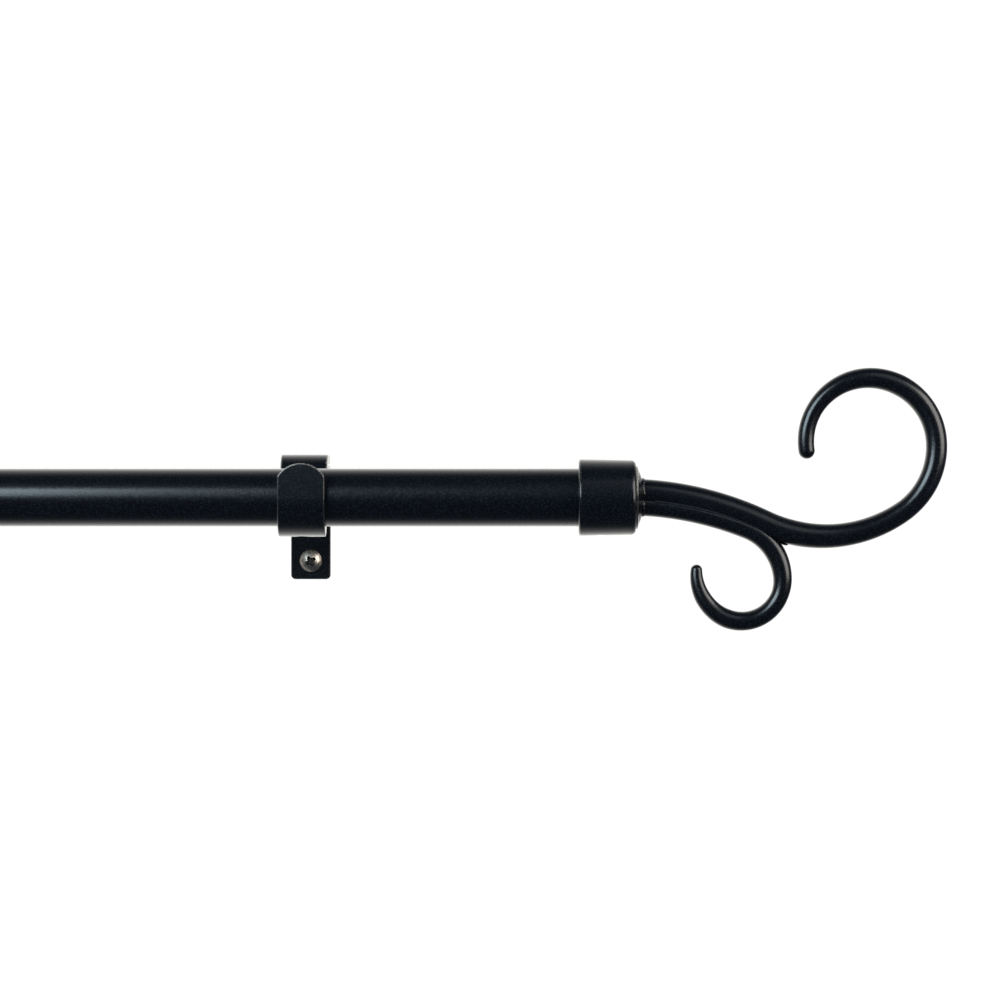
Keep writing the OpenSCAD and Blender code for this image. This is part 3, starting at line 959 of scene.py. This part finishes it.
def add_floor():
    bpy.ops.mesh.primitive_circle_add(vertices=180, radius=FLOOR_R, fill_type="NGON",
                                      location=(ROD.x, ROD.y, FLOOR_Z))
    floor = bpy.context.object
    floor.name = "studio_floor"
    material, tree, shader = new_material("pale_floor", Roughness=0.9, Emission_Strength=FLOOR_GLOW,
                                          Emission_Color=(1, 1, 1, 1))
    cloud = tint(tree, grain(tree, 40, 3), (0.88, 0.88, 0.885), (0.93, 0.93, 0.93))
    tree.links.new(cloud, shader.inputs["Base Color"])
    floor.data.materials.append(material)
    floor.visible_glossy = False


# The lighting is brightest behind the object, a little to the left, and it fades less with height.
# Each stop is (how far towards that side, from 0 to 1, the light's colour there).
BEHIND = (-0.4, 0.917, 0.0)
HEIGHT_SHARE = 0.6
SKY_STRENGTH = 2.6
SKY_STOPS = (
    (0.0, (0.008, 0.012, 0.019)),
    (0.5, (0.02, 0.026, 0.036)),
    (0.65, (0.048, 0.052, 0.06)),
    (0.77, (0.19, 0.195, 0.2)),
    (0.85, (0.33, 0.33, 0.32)),
    (0.95, (0.75, 0.75, 0.72)),
    (1.0, (1.0, 1.0, 0.95)),
)
# What the camera itself sees behind everything: plain white
BACKDROP_STRENGTH = 1.05


def add_sky():
    """White for the camera; for lighting, bright behind the object and dim bluish in front of it."""
    world = bpy.data.worlds.new("studio")
    bpy.context.scene.world = world
    world.use_nodes = True
    tree = world.node_tree
    tree.nodes.clear()
    where = add_node(tree, "ShaderNodeTexCoord")
    low = add_node(tree, "ShaderNodeVectorMath", {1: (1.0, 1.0, HEIGHT_SHARE)}, operation="MULTIPLY")
    tree.links.new(where.outputs["Generated"], low.inputs[0])
    unit = add_node(tree, "ShaderNodeVectorMath", operation="NORMALIZE")
    tree.links.new(low.outputs["Vector"], unit.inputs[0])
    behind = add_node(tree, "ShaderNodeVectorMath", {1: BEHIND}, operation="DOT_PRODUCT")
    tree.links.new(unit.outputs["Vector"], behind.inputs[0])
    ranged = add_node(tree, "ShaderNodeMapRange", {"From Min": -1.0, "From Max": 1.0})
    tree.links.new(behind.outputs["Value"], ranged.inputs["Value"])
    ramp = add_node(tree, "ShaderNodeValToRGB")
    elements = ramp.color_ramp.elements
    elements.remove(elements[1])
    for position, colour in SKY_STOPS:
        element = elements.new(position) if position else elements[0]
        element.color = (*colour, 1)
    tree.links.new(ranged.outputs["Result"], ramp.inputs["Fac"])
    lit = add_node(tree, "ShaderNodeBackground", {"Strength": SKY_STRENGTH})
    tree.links.new(ramp.outputs["Color"], lit.inputs["Color"])
    seen = add_node(tree, "ShaderNodeBackground", {"Color": (1, 1, 1, 1), "Strength": BACKDROP_STRENGTH})
    path = add_node(tree, "ShaderNodeLightPath")
    mix = add_node(tree, "ShaderNodeMixShader")
    tree.links.new(path.outputs["Is Camera Ray"], mix.inputs["Fac"])
    tree.links.new(lit.outputs["Background"], mix.inputs[1])
    tree.links.new(seen.outputs["Background"], mix.inputs[2])
    out = add_node(tree, "ShaderNodeOutputWorld")
    tree.links.new(mix.outputs["Shader"], out.inputs["Surface"])


# The scrolls' middle, at which the lights aim
SCROLLS = middle("main_scroll_right")


def add_softbox(name, centre, size, power, colour):
    light = bpy.data.lights.new(name, "AREA")
    light.shape = "RECTANGLE"
    light.size, light.size_y = size
    light.energy = power
    light.color = colour
    box = bpy.data.objects.new(name, light)
    bpy.context.scene.collection.objects.link(box)
    box.location = centre
    box.rotation_euler = (SCROLLS - Vector(centre)).to_track_quat("-Z", "Y").to_euler()
    box.visible_camera = False


# Lens and sensor in millimetres. CAMERA_BACK and CAMERA_DROP are measured from the rod's axis.
LENS = 163.3
SENSOR = 36.0
CAMERA_X = 0.0671
CAMERA_BACK = 1.539
CAMERA_DROP = 0.00085


def add_camera():
    """Looks straight at the rod's right-hand end, level with the rod."""
    data = bpy.data.cameras.new("camera")
    data.lens = LENS
    data.sensor_width = SENSOR
    camera = bpy.data.objects.new("camera", data)
    bpy.context.scene.collection.objects.link(camera)
    camera.location = (CAMERA_X, ROD.y - CAMERA_BACK, ROD.z - CAMERA_DROP)
    camera.rotation_euler = (math.radians(90), 0, 0)
    bpy.context.scene.camera = camera


add_floor()
add_sky()
add_softbox("softbox_left", (-0.4, -0.757, 0.3), size=(0.55, 0.46), power=8.0, colour=(0.72, 0.9, 1.0))
add_softbox("softbox_right", (0.86, -0.394, 0.28), size=(0.6, 0.7), power=7.0, colour=(1.0, 0.97, 0.93))
add_softbox("softbox_top", (0.45, -0.715, 0.575), size=(0.45, 0.55), power=0.62, colour=(0.9, 0.94, 1.0))
add_camera()
bpy.context.scene.view_settings.view_transform = "Standard"
